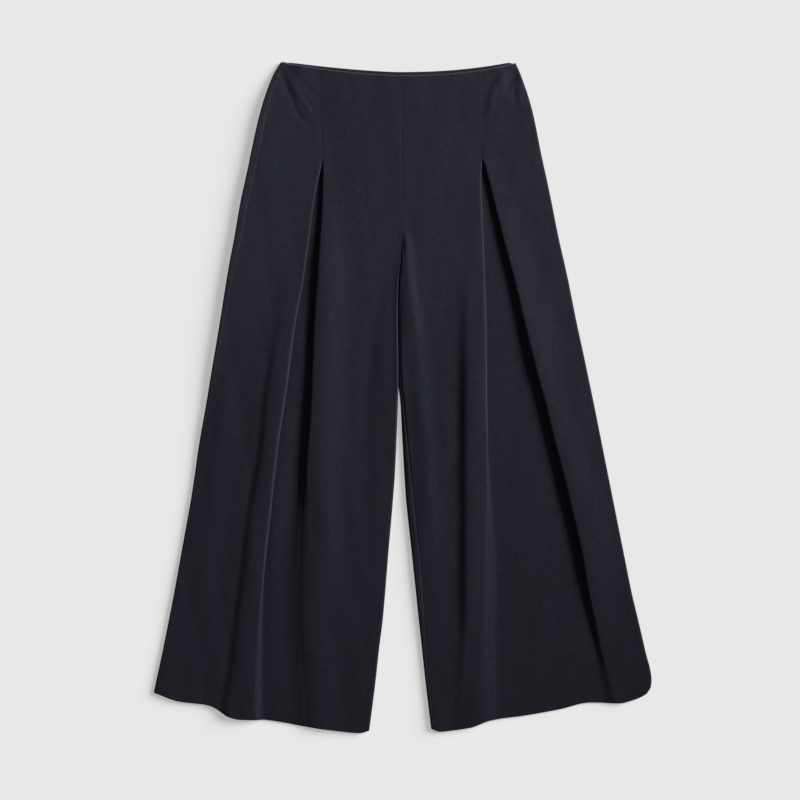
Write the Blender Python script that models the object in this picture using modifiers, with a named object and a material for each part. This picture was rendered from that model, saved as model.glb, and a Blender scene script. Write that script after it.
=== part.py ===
"""Wide-leg pull-on trousers with an inverted pleat in each front, laid flat on their back.

Metres, +Z up. The waist points to +Y, the wearer's left leg to +X, and the underside lies at Z = 0.
Every panel is a sheet lofted through its cross-sections, one section for each row of drop below
the waist, and Solidify gives it the wall. A section is written in leg coordinates, in millimetres:
out = distance from the garment's centre line towards the leg's own side, up = height of the
cloth's middle surface, drop = distance below the waist corners.
"""

from functools import partial
from math import pi

import bpy
import numpy as np

MM = 0.001
OVERALL_LENGTH = 1004.0
CENTRE_SHIFT = 3.7  # the left hem reaches farther out, so the centre seam lies this far off X = 0

WALL = 1.2
SEAM_GAP = 0.3
LAYER = WALL + SEAM_GAP  # rise from one cloth layer to the next that lies on it
BACK_LEVEL = WALL / 2
EDGE_RADIUS = 2.4  # of the middle surface where front and back turn into each other
QUARTER = EDGE_RADIUS * pi / 2
FRONT_LEVEL = BACK_LEVEL + 2 * EDGE_RADIUS
UNDERLAY_LEVEL = BACK_LEVEL + LAYER
TUCK_RADIUS = LAYER / 2  # of the hidden fold between a return and the underlay
EDGE_REACH = 18.0  # cloth length from the outermost line that belongs to the rolled edge
UNDER_SEAM = -(QUARTER + 3.0)  # a seam that lies beneath the rolled edge

CROTCH = 258.0
CROTCH_END = 298.0  # drop by which the leg is a closed tube of its own

FACING_DEPTH = 32.0
FACING_INSET = 13.0
FACING_EDGE = 1.0  # the facing's top edge lies this far below the back's
FACING_FLARE = 0.03  # how much wider its lower edge is, as the hips widen
FACING_FADE = 24.0  # drop over which the front settles again below the facing

FRONT_WAIST_DIP = 19.5
BACK_WAIST_DIP = 13.5
FRONT_WAIST_HALF = 178.0
BACK_WAIST_HALF = 163.0
WAIST_POWER = 2.4
WAIST_REACH = 120.0  # drop below which the rows no longer follow the waist line

HEM_NOMINAL = 985.0
HEM_REACH = 285.0  # stretch above the hem in which the rows turn to follow it

LIP_WIDTH = 24.0  # how far from a fold edge its lip has mostly sunk to the flat
TUCK_MARGIN = 2.0  # the front stays raised this far past the end of a return,
TUCK_FADE = 9.0  # and sinks over this
MIN_RETURN = 0.4
SLACK_TURN = 170.0  # degrees below which a fold no longer holds its return flat
FLAT_TURN = 180.0
OPENED_TURN = 1.0  # radians short of folded flat at which the two arcs are equal
LEAST_CLOSED = 0.001  # stands for a leg's open edge, where a turn of nothing has no radius

# One row for each cross-section of a leg: the outer edge, the pleat's fold edge on the centre
# panel, how far the pleat has opened from there to the side panel's fold edge, and the inner edge,
# all as distances out. Then how far each return is tucked in, and how high each fold edge stands
# over the flat front. mid_turn is the angle in degrees through which the centre panel's edge
# turns: 180 is folded flat back, less is an opened, sloping edge. side_seam is the length of cloth
# from the outermost line up to the side seam, and inner_seam the same for the inseam.
SECTION_COLUMNS = (
    "drop", "side", "mid_fold", "opening", "inner", "side_tuck", "mid_tuck",
    "side_lip", "mid_lip", "mid_turn", "side_seam", "inner_seam",
)
RIGHT_SECTIONS = (
    (0.0, 179.0, 119.6, 0.4, -2.2, 28, 38, 0.4, 0.4, 180, 9.0, UNDER_SEAM),
    (19.5, 190.5, 119.4, 0.4, -2.2, 32, 38, 0.4, 0.4, 180, 10.0, UNDER_SEAM),
    (70.5, 208.5, 118.8, 0.4, -2.2, 40, 40, 0.4, 0.4, 180, 11.0, UNDER_SEAM),
    (141.0, 224.5, 116.9, 0.4, -2.2, 42, 42, 0.5, 0.5, 180, 11.5, UNDER_SEAM),
    (205.5, 238.5, 116.5, 15.5, -2.2, 42, 42, 1.8, 1.8, 180, 11.5, UNDER_SEAM),
    (265.5, 249.0, 120.0, 21.0, -2.2, 36, 42, 2.2, 2.6, 180, 11.0, UNDER_SEAM),
    (325.5, 260.0, 124.5, 25.5, -0.3, 27, 40, 2.4, 3.0, 180, 9.8, UNDER_SEAM),
    (385.5, 269.5, 128.5, 30.5, 1.5, 20, 38, 2.4, 3.2, 180, 8.8, UNDER_SEAM),
    (505.5, 289.5, 133.5, 39.5, 3.0, 16, 32, 2.4, 3.2, 180, 5.8, UNDER_SEAM),
    (580.5, 302.5, 137.5, 47.5, 5.8, 15, 22, 2.5, 3.0, 180, 5.6, UNDER_SEAM),
    (655.5, 313.5, 141.0, 54.0, 10.5, 14, 6, 2.6, 2.6, 180, 5.4, UNDER_SEAM),
    (730.5, 327.0, 142.0, 62.0, 17.0, 14, 6, 2.8, 2.0, 140, 5.2, UNDER_SEAM),
    (805.5, 340.5, 140.5, 68.0, 23.0, 14, 6, 3.0, 1.5, 98, 5.0, UNDER_SEAM),
    (880.5, 355.5, 139.0, 74.0, 31.5, 14, 6, 3.0, 1.2, 64, 5.0, UNDER_SEAM),
    (940.5, 368.5, 136.5, 78.0, 38.0, 14, 6, 3.0, 1.0, 50, 5.0, UNDER_SEAM),
    (1005.0, 382.0, 135.0, 78.0, 46.5, 14, 6, 3.0, 1.0, 48, 5.0, UNDER_SEAM),
)
LEFT_SECTIONS = (
    (0.0, 173.0, 120.4, 0.4, 2.2, 22, 38, 0.4, 0.4, 180, UNDER_SEAM, 5.5),
    (19.5, 181.5, 120.7, 0.4, 2.2, 27, 38, 0.4, 0.4, 180, UNDER_SEAM, 5.5),
    (70.5, 198.0, 121.8, 0.4, 2.2, 38, 40, 0.4, 0.4, 180, UNDER_SEAM, 5.5),
    (141.0, 212.5, 123.5, 0.4, 2.2, 42, 42, 0.5, 0.5, 180, UNDER_SEAM, 5.5),
    (205.5, 226.5, 122.5, 15.5, 2.2, 42, 40, 2.0, 1.6, 180, UNDER_SEAM, 5.5),
    (265.5, 238.5, 124.5, 29.5, 2.6, 38, 36, 2.8, 2.2, 180, UNDER_SEAM, 5.5),
    (325.5, 252.0, 126.5, 43.0, 1.8, 34, 32, 3.4, 2.4, 180, UNDER_SEAM, 5.5),
    (385.5, 264.0, 128.5, 54.5, 1.2, 30, 28, 3.8, 2.4, 180, UNDER_SEAM, 6.0),
    (505.5, 289.5, 129.5, 83.5, 0.8, 24, 20, 4.2, 2.4, 180, UNDER_SEAM, 8.5),
    (655.5, 319.5, 133.0, 119.0, 9.0, 18, 14, 4.4, 2.4, 180, UNDER_SEAM, 12.5),
    (730.5, 334.5, 133.5, 136.5, 17.0, 14, 10, 4.2, 2.4, 180, UNDER_SEAM, 12.5),
    (790.5, 346.5, 133.5, 151.5, 23.4, 12, 6, 3.8, 2.2, 180, UNDER_SEAM, 11.0),
    (880.5, 367.5, 132.5, 169.5, 33.0, 10, 6, 2.8, 1.8, 104, UNDER_SEAM, 7.0),
    (925.0, 377.0, 133.0, 177.5, 37.8, 10, 6, 2.2, 1.4, 72, UNDER_SEAM, 5.6),
    (935.0, 376.0, 133.3, 179.2, 39.0, 10, 6, 2.1, 1.3, 68, UNDER_SEAM, 5.5),
    (944.0, 371.0, 133.5, 180.5, 40.0, 10, 6, 2.0, 1.2, 64, UNDER_SEAM, 5.5),
    (1005.0, 350.0, 133.5, 191.5, 47.5, 10, 6, 2.0, 1.0, 52, UNDER_SEAM, 5.5),
)

# The hem line of each leg, from the inner corner to the outer one.
HEM_COLUMNS = ("out", "drop")
RIGHT_HEM = (
    (46.5, 1000.5), (60.0, 1004.0), (97.5, 1000.5), (150.0, 993.0), (207.0, 984.5),
    (240.0, 983.5), (256.5, 979.5), (280.5, 965.0), (292.5, 961.5), (330.0, 957.0), (369.0, 943.5),
)
LEFT_HEM = (
    (46.5, 997.5), (60.0, 1002.0), (75.0, 1000.5), (105.0, 996.0), (135.0, 985.5), (180.0, 979.5),
    (240.0, 969.0), (285.0, 959.0), (330.0, 959.5), (345.0, 956.0), (360.0, 950.5), (371.0, 944.0),
)

# The largest drape folds of the panels: a straight run from one end to the other, its height
# (below zero for a valley) and its half width.
FOLD_COLUMNS = ("drop_from", "out_from", "drop_to", "out_to", "height", "half_width")
RIGHT_FOLDS = (
    (360.0, 183.0, 1080.0, 282.0, -2.4, 13.0),
    (460.0, 258.0, 800.0, 297.0, 1.2, 18.0),
    (260.0, 99.0, 1080.0, 101.0, 1.8, 20.0),
    (290.0, 17.0, 800.0, 60.0, -1.4, 16.0),
)
LEFT_FOLDS = (
    (250.0, 6.0, 860.0, 62.0, 1.8, 16.0),
    (330.0, 94.0, 1080.0, 90.0, -2.6, 11.0),
    (520.0, 245.0, 840.0, 326.0, 1.0, 20.0),
)
FOLD_RAMP = 110.0  # drop over which a fold grows from nothing at each end

ROWS = (
    0, 14, 36, 64, 100, 132, 146, 166, 198, 232, 258, 267, 276, 285, 299, 330, 370, 415, 465,
    515, 565, 615, 660, 700, 740, 775, 810, 840, 870, 900, 930, 958, HEM_NOMINAL,
)
FACING_ROWS = (0.0, 0.25, 0.5, 0.75, 1.0)
FACING_COLUMNS = 14

SETTLE_STEPS = 6

# Where the columns stand: shares of the way from a seam to the panel, across a panel, and round
# the arcs of the pleat's folds. TURN_SHARES are the seam, both ends of the turn, and the panel.
TURN_SHARES = (0.0, 0.2, 0.8, 1.0)
ROLLED_SHARES = (0.0, 0.2, 0.35, 0.5, 0.65, 0.8, 1.0)
TOP_SEAM_SHARES = (0.0, 0.12, 0.45, 1.0)
FLAT_SHARES = (0.0, 1.0)
SIDE_PANEL_SHARES = (0.17, 0.34, 0.5, 0.65, 0.8, 0.91)
UPPER_SHARES = (0.0, 0.25, 0.5, 0.75, 1.0)
LOWER_SHARES = (0.0, 0.34, 0.67, 1.0)
UNDERLAY_SHARES = (0.3, 0.7)
CENTRE_PANEL_SHARES = (0.09, 0.2, 0.33, 0.46, 0.6, 0.74, 0.88)
BACK_FLAT_SHARES = (0.33, 0.67)

KNIT_COLOUR = (0.0210, 0.0213, 0.0290)
FACING_COLOUR = (0.0130, 0.0132, 0.0180)
KNIT_ROUGHNESS = 0.85


def table(columns, rows):
    """A table's named columns as arrays."""
    return dict(zip(columns, np.array(rows, float).T))


def smooth(xs, ys, x):
    """A curve through the points (xs, ys) with no overshoot between them, read at x.

    Cubic Hermite pieces, whose slope at each point is the harmonic mean of its neighbours' chords.
    """
    step = np.diff(xs)
    chord = np.diff(ys) / step
    slope = np.zeros(len(xs))
    same_way = chord[:-1] * chord[1:] > 0
    pair = chord[:-1][same_way], chord[1:][same_way]
    slope[1:-1][same_way] = 2 * pair[0] * pair[1] / (pair[0] + pair[1])
    slope[0], slope[-1] = chord[0], chord[-1]
    x = np.clip(x, xs[0], xs[-1])
    k = np.clip(np.searchsorted(xs, x, side="right") - 1, 0, len(step) - 1)
    t = (x - xs[k]) / step[k]
    return (
        (1 + 2 * t) * (1 - t) ** 2 * ys[k]
        + t * (1 - t) ** 2 * step[k] * slope[k]
        + t * t * (3 - 2 * t) * ys[k + 1]
        + t * t * (t - 1) * step[k] * slope[k + 1]
    )


def ease(t):
    """0 up to t = 0, 1 from t = 1, with a smooth rise between."""
    t = np.clip(t, 0, 1)
    return t * t * (3 - 2 * t)


class Leg:
    """The measures of one leg, read at any drop."""

    def __init__(self, side, sections, hem, folds, side_on_top, inner_on_top):
        self.side = side  # +1 on the wearer's left, -1 on the right
        self.sections = table(SECTION_COLUMNS, sections)
        self.hem = table(HEM_COLUMNS, hem)
        self.folds = [dict(zip(FOLD_COLUMNS, row)) for row in folds]
        self.seams = {"side": (side_on_top, "side_seam"), "inner": (inner_on_top, "inner_seam")}

    def at(self, name, drop):
        return smooth(self.sections["drop"], self.sections[name], drop)

    def fold_edge(self, panel_name, drop):
        """Where the pleat's fold edge lies on the side or the mid panel."""
        edge = self.at("mid_fold", drop)
        return edge + self.at("opening", drop) if panel_name == "side" else edge

    def hem_drop(self, out):
        return smooth(self.hem["out"], self.hem["drop"], out)

    def fold_height(self, out, drop):
        """The sum of the drape folds, each a bell across its run."""
        height = np.zeros(np.shape(out))
        for fold in self.folds:
            length = fold["drop_to"] - fold["drop_from"]
            along = (drop - fold["drop_from"]) / length
            centre = fold["out_from"] + (fold["out_to"] - fold["out_from"]) * along
            ends = ease(along * length / FOLD_RAMP) * ease((1 - along) * length / FOLD_RAMP)
            height += fold["height"] * ends * np.exp(-(((out - centre) / fold["half_width"]) ** 2))
        return height


def facing_lift(drop):
    """What the front is raised by where the facing lies under it."""
    return LAYER * (1 - ease((drop - FACING_DEPTH - FRONT_WAIST_DIP) / FACING_FADE))


def rolled_edge(length):
    """The cloth's turn round an edge, as inset and height.

    length runs along the cloth from the outermost line, above zero towards the front. The cloth
    follows a half circle, and past it lies flat on the front or the back level.
    """
    turn = np.clip(length / EDGE_RADIUS, -pi / 2, pi / 2)
    inset = EDGE_RADIUS * (1 - np.cos(turn)) + np.maximum(np.abs(length) - QUARTER, 0)
    return WALL / 2 + inset, BACK_LEVEL + EDGE_RADIUS * (1 + np.sin(turn))


def front_top(leg, panel_name, out, drop):
    """The front's height: flat, raised over the tucked pleat, with the fold's lip and the drape."""
    away = np.abs(out - leg.fold_edge(panel_name, drop))
    over_tuck = 1 - ease((away - leg.at(panel_name + "_tuck", drop) - TUCK_MARGIN) / TUCK_FADE)
    return (
        FRONT_LEVEL
        + facing_lift(drop) * over_tuck
        + leg.at(panel_name + "_lip", drop) * np.exp(-((away / LIP_WIDTH) ** 2))
        + leg.fold_height(out, drop)
    )


def side_edge(leg, drop, length):
    """Cloth round the outer edge, at a length from the outermost line."""
    inset, up = rolled_edge(length)
    return leg.at("side", drop) - inset, up


def closing(drop):
    """How far a leg has closed into a tube of its own: 0 above the crotch, 1 below it."""
    return ease((drop - CROTCH) / (CROTCH_END - CROTCH))


def turned_edge(leg, drop, length, tail):
    """The cloth that rolls round the inner edge, as its distance out and its rise from its level.

    length runs from the seam, at -(QUARTER + tail), to the panel. Above the crotch the cloth ends
    flat at the centre seam. Below it the cloth turns through pi * closed, over an arc whose radius
    leaves the tail room between the two levels.
    """
    closed = np.maximum(closing(drop), LEAST_CLOSED)
    turn = pi * closed
    room = (2 * EDGE_RADIUS - tail * np.sin(turn)) / (1 - np.cos(turn))
    radius = np.minimum(EDGE_RADIUS / closed, room)
    share = np.clip((QUARTER - length) / (2 * QUARTER), 0, 1)
    past = np.maximum(-QUARTER - length, 0)
    along = radius * np.sin(turn * share) + past * np.cos(turn) - np.maximum(length - QUARTER, 0)
    reach = radius * np.sin(np.minimum(turn, pi / 2)) + tail * np.maximum(np.cos(turn), 0)
    margin = SEAM_GAP / 2 + (WALL / 2 - SEAM_GAP / 2) * closed
    rise = radius * (1 - np.cos(turn * share)) + past * np.sin(turn)
    return leg.at("inner", drop) + margin + reach - along, rise


def still_edge(leg, drop, length, tail):
    """The cloth that the rolled one meets: it stays flat and ends at the seam."""
    seam_inset = WALL / 2 + EDGE_RADIUS + tail + SEAM_GAP / 2
    return leg.at("inner", drop) + SEAM_GAP / 2 + seam_inset * closing(drop) + length


def pleat_fold(leg, panel_name, drop):
    """The measures of one fold of the pleat.

    The panel's edge turns down over an upper arc, runs back beneath as the return, and turns
    again over a lower arc into the underlay. way is -1 for the side panel, whose edge faces the
    centre, and +1 for the centre panel. The drop from panel to underlay is shared by the two
    radii: height = (r1 + r2)(1 - cos a), for a turn of a.
    """
    way = -1 if panel_name == "side" else 1
    edge_out = leg.fold_edge(panel_name, drop)
    turn = leg.at("mid_turn", drop) if panel_name == "mid" else FLAT_TURN + 0 * drop
    angle = np.radians(turn)
    high = front_top(leg, panel_name, edge_out, drop)
    low = UNDERLAY_LEVEL + facing_lift(drop)
    both = (high - low) / (1 - np.cos(angle))
    opened = ease((pi - angle) / OPENED_TURN)
    lower = TUCK_RADIUS * (1 - opened) + both / 2 * opened
    upper = both - lower
    folded_flat = ease((turn - SLACK_TURN) / (FLAT_TURN - SLACK_TURN))
    return dict(
        way=way, high=high, low=low, angle=angle, upper=upper, lower=lower,
        straight=MIN_RETURN + np.maximum(leg.at(panel_name + "_tuck", drop) - both, 0) * folded_flat,
        top_out=edge_out - way * (WALL / 2 + upper * np.sin(np.minimum(angle, pi / 2))),
    )


def upper_arc(leg, panel_name, share, drop):
    """The fold's upper arc, share running from 0 at the panel to 1 at the return."""
    fold = pleat_fold(leg, panel_name, drop)
    turned = fold["angle"] * share
    out = fold["top_out"] + fold["way"] * fold["upper"] * np.sin(turned)
    return out, fold["high"] - fold["upper"] * (1 - np.cos(turned))


def lower_arc(leg, panel_name, share, drop):
    """The fold's lower arc, share running from 0 at the return to 1 at the underlay."""
    fold = pleat_fold(leg, panel_name, drop)
    angle = fold["angle"]
    start = upper_arc(leg, panel_name, 1.0, drop)[0] + fold["way"] * fold["straight"] * np.cos(angle)
    turned = angle * (1 - share)
    out = start + fold["way"] * fold["lower"] * (np.sin(angle) - np.sin(turned))
    return out, fold["low"] + fold["lower"] * (1 - np.cos(turned))


def seam_length(leg, seam, drop):
    """The cloth's length from the outermost line to a seam, above zero on top."""
    return leg.at(leg.seams[seam][1], drop)


def rolled_length(start, share):
    """The length at an edge column of the rolled cloth, share 0 at the seam and 1 at the flat."""
    ends = (start, -QUARTER, QUARTER, EDGE_REACH)
    length = 0 * start
    for k in range(3):
        part = np.clip((share - TURN_SHARES[k]) / (TURN_SHARES[k + 1] - TURN_SHARES[k]), 0, 1)
        length = length + (ends[k + 1] - ends[k]) * part
    return start + length


def front_side_edge(leg, share, drop):
    seam = seam_length(leg, "side", drop) + SEAM_GAP / 2
    if leg.seams["side"][0]:
        length = seam + (EDGE_REACH - seam) * share
    else:
        length = rolled_length(seam, share)
    out, up = side_edge(leg, drop, length)
    return out, up + leg.fold_height(out, drop) * ease(length / EDGE_REACH)


def back_side_edge(leg, share, drop):
    seam = seam_length(leg, "side", drop) - SEAM_GAP / 2
    if leg.seams["side"][0]:
        return side_edge(leg, drop, -rolled_length(-seam, share))
    return side_edge(leg, drop, seam + (-EDGE_REACH - seam) * share)


def front_inner_edge(leg, share, drop):
    tail = np.abs(seam_length(leg, "inner", drop)) - QUARTER
    if leg.seams["inner"][0]:
        out = still_edge(leg, drop, EDGE_REACH * share, tail)
        up, weight = FRONT_LEVEL, share
    else:
        length = rolled_length(-QUARTER - tail, share)
        out, rise = turned_edge(leg, drop, length, tail)
        up, weight = FRONT_LEVEL - rise, ease(length / EDGE_REACH)
    return out, up + leg.fold_height(out, drop) * weight


def back_inner_edge(leg, share, drop):
    tail = np.abs(seam_length(leg, "inner", drop)) - QUARTER
    if leg.seams["inner"][0]:
        out, rise = turned_edge(leg, drop, rolled_length(-QUARTER - tail, share), tail)
        return out, BACK_LEVEL + rise
    return still_edge(leg, drop, EDGE_REACH * share, tail), BACK_LEVEL + 0 * drop


def side_panel(leg, share, drop):
    start = front_side_edge(leg, 1.0, drop)[0]
    end = pleat_fold(leg, "side", drop)["top_out"]
    out = start + (end - start) * share
    return out, front_top(leg, "side", out, drop)


def centre_panel(leg, share, drop):
    start = pleat_fold(leg, "mid", drop)["top_out"]
    end = front_inner_edge(leg, 1.0, drop)[0]
    out = start + (end - start) * share
    return out, front_top(leg, "mid", out, drop)


def underlay(leg, share, drop):
    start, up = lower_arc(leg, "side", 1.0, drop)
    end, _ = lower_arc(leg, "mid", 1.0, drop)
    return start + (end - start) * share, up


def back_flat(leg, share, drop):
    start, up = back_side_edge(leg, 1.0, drop)
    end, _ = back_inner_edge(leg, 1.0, drop)
    return start + (end - start) * share, up


def front_columns(leg):
    """The front's columns in order from the side seam to the inner seam."""
    edges = [TOP_SEAM_SHARES if leg.seams[name][0] else ROLLED_SHARES for name in ("side", "inner")]
    return (
        [partial(front_side_edge, leg, share) for share in edges[0]]
        + [partial(side_panel, leg, share) for share in SIDE_PANEL_SHARES]
        + [partial(upper_arc, leg, "side", share) for share in UPPER_SHARES]
        + [partial(lower_arc, leg, "side", share) for share in LOWER_SHARES]
        + [partial(underlay, leg, share) for share in UNDERLAY_SHARES]
        + [partial(lower_arc, leg, "mid", share) for share in reversed(LOWER_SHARES)]
        + [partial(upper_arc, leg, "mid", share) for share in reversed(UPPER_SHARES)]
        + [partial(centre_panel, leg, share) for share in CENTRE_PANEL_SHARES]
        + [partial(front_inner_edge, leg, share) for share in reversed(edges[1])]
    )


def back_columns(leg):
    """The back's columns in the same order."""
    edges = [ROLLED_SHARES if leg.seams[name][0] else FLAT_SHARES for name in ("side", "inner")]
    return (
        [partial(back_side_edge, leg, share) for share in edges[0]]
        + [partial(back_flat, leg, share) for share in BACK_FLAT_SHARES]
        + [partial(back_inner_edge, leg, share) for share in reversed(edges[1])]
    )


def lay_out(leg, column, waist_line):
    """One column's points: each row's drop is settled so that the first row lies on the waist
    line and the last on the hem line, wherever the column runs out to."""
    rows = np.array(ROWS, float)
    near_waist = np.clip(1 - rows / WAIST_REACH, 0, 1) ** 2
    near_hem = ease((rows - HEM_NOMINAL + HEM_REACH) / HEM_REACH)
    drop = rows
    for _ in range(SETTLE_STEPS):
        out, up = column(drop)
        drop = rows + waist_line(out) * near_waist + (leg.hem_drop(out) - HEM_NOMINAL) * near_hem
    return np.stack([leg.side * out - CENTRE_SHIFT, OVERALL_LENGTH / 2 - drop, up], axis=-1)


def front_waist(out):
    """The drop of the front's top edge below the waist corners."""
    return FRONT_WAIST_DIP * (1 - np.minimum(np.abs(out) / FRONT_WAIST_HALF, 1) ** WAIST_POWER)


def back_waist(out):
    return BACK_WAIST_DIP * (1 - np.minimum(np.abs(out) / BACK_WAIST_HALF, 1) ** WAIST_POWER)


def knit_material(name, colour):
    material = bpy.data.materials.new(name)
    material.use_nodes = True
    shader = material.node_tree.nodes["Principled BSDF"]
    shader.inputs["Base Color"].default_value = (*colour, 1.0)
    shader.inputs["Roughness"].default_value = KNIT_ROUGHNESS
    shader.inputs["Metallic"].default_value = 0.0
    return material


def cloth_sheet(name, grid, material, collection):
    """A lofted grid of points, in millimetres, as an open surface with the cloth's wall."""
    columns, rows = grid.shape[:2]
    index = np.arange(columns * rows).reshape(columns, rows)
    faces = np.stack([index[:-1, :-1], index[1:, :-1], index[1:, 1:], index[:-1, 1:]], axis=-1)
    mesh = bpy.data.meshes.new(name)
    mesh.from_pydata((grid.reshape(-1, 3) * MM).tolist(), [], faces.reshape(-1, 4).tolist())
    mesh.materials.append(material)
    mesh.shade_smooth()
    sheet = bpy.data.objects.new(name, mesh)
    collection.objects.link(sheet)
    wall = sheet.modifiers.new("wall", "SOLIDIFY")
    wall.thickness = WALL * MM
    wall.offset = 0.0
    wall.use_even_offset = True
    return sheet


def panel(name, leg, columns, waist_line, material, collection):
    grid = np.stack([lay_out(leg, column, waist_line) for column in columns])
    return cloth_sheet(name, grid if leg.side < 0 else grid[::-1], material, collection)


def waist_facing(legs, material, collection):
    """The band inside the back's waist, one layer above the back and clear of its side folds."""
    right, left = (leg.side * (leg.at("side", 0.0) - FACING_INSET) for leg in legs)
    across = np.linspace(right, left, FACING_COLUMNS)
    drop = FACING_EDGE + np.array(FACING_ROWS)[None, :] * FACING_DEPTH + back_waist(across)[:, None]
    flare = 1 + FACING_FLARE * drop / FACING_DEPTH
    along = across[:, None] * flare - CENTRE_SHIFT
    grid = np.stack([along, OVERALL_LENGTH / 2 - drop, 0 * drop + UNDERLAY_LEVEL], axis=-1)
    return cloth_sheet("waist_facing_back", grid, material, collection)


def main():
    for old in list(bpy.data.objects):
        bpy.data.objects.remove(old, do_unlink=True)
    collection = bpy.data.collections.new("wide_leg_trousers")
    bpy.context.scene.collection.children.link(collection)
    knit = knit_material("navy_knit", KNIT_COLOUR)
    inside = knit_material("navy_knit_inside", FACING_COLOUR)

    right = Leg(-1, RIGHT_SECTIONS, RIGHT_HEM, RIGHT_FOLDS, side_on_top=True, inner_on_top=False)
    left = Leg(+1, LEFT_SECTIONS, LEFT_HEM, LEFT_FOLDS, side_on_top=False, inner_on_top=True)
    for name, leg in (("right", right), ("left", left)):
        panel("front_" + name, leg, front_columns(leg), front_waist, knit, collection)
        panel("back_" + name, leg, back_columns(leg), back_waist, knit, collection)
    waist_facing((right, left), inside, collection)


main()
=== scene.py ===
"""Wide-leg pull-on trousers in a dark navy knit, laid flat on their back and seen from above.

Metres in the scene; the cutting measures below are millimetres, in leg coordinates: out = distance
from the garment's centre line towards the leg's own side, drop = distance below the waist corners,
up = height of the cloth's middle surface over the surface the garment lies on.
"""

from math import atan, cos, pi, radians, sin

import bpy
import numpy as np
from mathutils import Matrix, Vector


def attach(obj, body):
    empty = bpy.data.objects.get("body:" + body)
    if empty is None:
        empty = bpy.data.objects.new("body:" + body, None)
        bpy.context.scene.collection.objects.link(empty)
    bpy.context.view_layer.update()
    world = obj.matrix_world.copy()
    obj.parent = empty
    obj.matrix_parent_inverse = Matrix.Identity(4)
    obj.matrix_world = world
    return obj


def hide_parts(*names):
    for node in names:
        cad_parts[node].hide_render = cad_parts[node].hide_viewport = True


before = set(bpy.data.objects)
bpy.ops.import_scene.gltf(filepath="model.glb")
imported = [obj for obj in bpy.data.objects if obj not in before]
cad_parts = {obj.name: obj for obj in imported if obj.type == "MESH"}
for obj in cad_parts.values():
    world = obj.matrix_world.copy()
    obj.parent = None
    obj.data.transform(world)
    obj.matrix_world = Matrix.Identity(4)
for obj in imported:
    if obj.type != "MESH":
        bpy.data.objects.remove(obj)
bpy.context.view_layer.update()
scene = bpy.context.scene
scene.view_settings.view_transform = "Standard"
garment = bpy.data.collections.new("garment")
studio = bpy.data.collections.new("studio")
scene.collection.children.link(garment)
scene.collection.children.link(studio)


# ---- Camera ----
# It looks straight down on the laid-out garment from 3 m, as the photograph does, with the waist
# at the top of the picture. The picture is square and 1.2 m wide on the floor.

CAMERA_HEIGHT = 3.0
PICTURE_WIDTH = 1.2
PICTURE_CENTRE = (-0.0037, -0.0035)

camera = bpy.data.objects.new("camera", bpy.data.cameras.new("camera"))
camera.location = (*PICTURE_CENTRE, CAMERA_HEIGHT)
camera.data.angle = 2 * atan(PICTURE_WIDTH / 2 / CAMERA_HEIGHT)
studio.objects.link(camera)
scene.camera = camera


# ---- The two fronts ----
# Each front is one panel of smooth double knit with an inverted pleat, stitched shut from the waist
# for about 140 mm, pressed, and open below. The panels are sewn along centre, side and inseam, and
# the hem is turned up and stitched with a twin needle.

MM = 0.001
OVERALL_LENGTH = 1004.0
CENTRE_SHIFT = 3.7  # how far the centre seam lies towards the right leg from the frame's middle
WALL = 1.2
SEAM_GAP = 0.3
LAYER = WALL + SEAM_GAP  # rise from one cloth layer to the next
BACK_LEVEL = WALL / 2
EDGE_RADIUS = 2.4  # where front and back turn into each other
QUARTER = EDGE_RADIUS * pi / 2
FRONT_LEVEL = BACK_LEVEL + 2 * EDGE_RADIUS
UNDERLAY_LEVEL = BACK_LEVEL + LAYER
TUCK_RADIUS = LAYER / 2
EDGE_REACH = 18.0  # cloth from an edge's outermost line to the panel proper
UNDER_SEAM = -(QUARTER + 3.0)  # a seam that has rolled under, 3 mm past the turn
CROTCH, CROTCH_END = 264.0, 306.0  # drops over which each leg closes into a tube
FACING_DEPTH = 32.0
FACING_FADE = 66.0  # length below the facing over which its lift dies away
FRONT_WAIST_DIP, FRONT_WAIST_HALF = 19.5, 178.0
WAIST_REACH = 120.0  # how far down the waist line's curve is felt
HEM_NOMINAL, HEM_REACH = 985.0, 285.0  # the rows' last drop, and how far up the hem line is felt
LIP_WIDTH = 24.0
TUCK_MARGIN, TUCK_FADE = 2.0, 18.0
MIN_RETURN = 0.4  # least straight cloth between a fold's two arcs
SLACK_TURN, FLAT_TURN = 170.0, 180.0  # degrees of turn over which the return tucks back
OPENED_TURN = 1.0  # radians short of flat at which a fold's two arcs are alike
LEAST_FLAP, LEAST_BEND = 1.2, 0.004  # the inner edge above the crotch: flat, and hardly any flap
FLAP_CURLED = 0.12  # share of a leg's closing by which the flap has its full bend
SEWN_TO, OPEN_FROM = 135.0, 157.0  # drops between which the pleat's stitching lets go
SEWN_SHARPNESS = 0.85  # how much narrower the fold's arc is where it is stitched and pressed flush
CRISPNESS = 0.5  # and along the fold that the iron has caught
CRISP_TURN, CRISP_EASE = 90.0, 60.0  # degrees of turn from which, and over which, it is crisp
SEAM_SHUT = -0.03  # half the gap between two sewn edges, which press on each other
SEAM_SINK, SEAM_WIDTH = 0.20, 1.0  # depth and half width of the dent that a seam draws in
CENTRE_SINK = 0.22
WAIST_ROLL = 1.5  # radius of the turned waist edge, and of the turned hem
HEM_ROLL = 1.3
HEM_TURN = 20.5  # depth of the hem's turn-up
HEM_RISE, HEM_STEP = 0.35, 2.4  # height of the doubled cloth, and the length it rises over
NEEDLE_ROWS = (14.5, 18.7)  # the two stitch rows, above the hem edge
NEEDLE_SINK, NEEDLE_WIDTH = 0.38, 0.8
SETTLE_STEPS, CREST_STEPS = 6, 3  # rounds in which a row's drop and a fold's crest settle
CREST_CROWDING = 0.8
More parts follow.
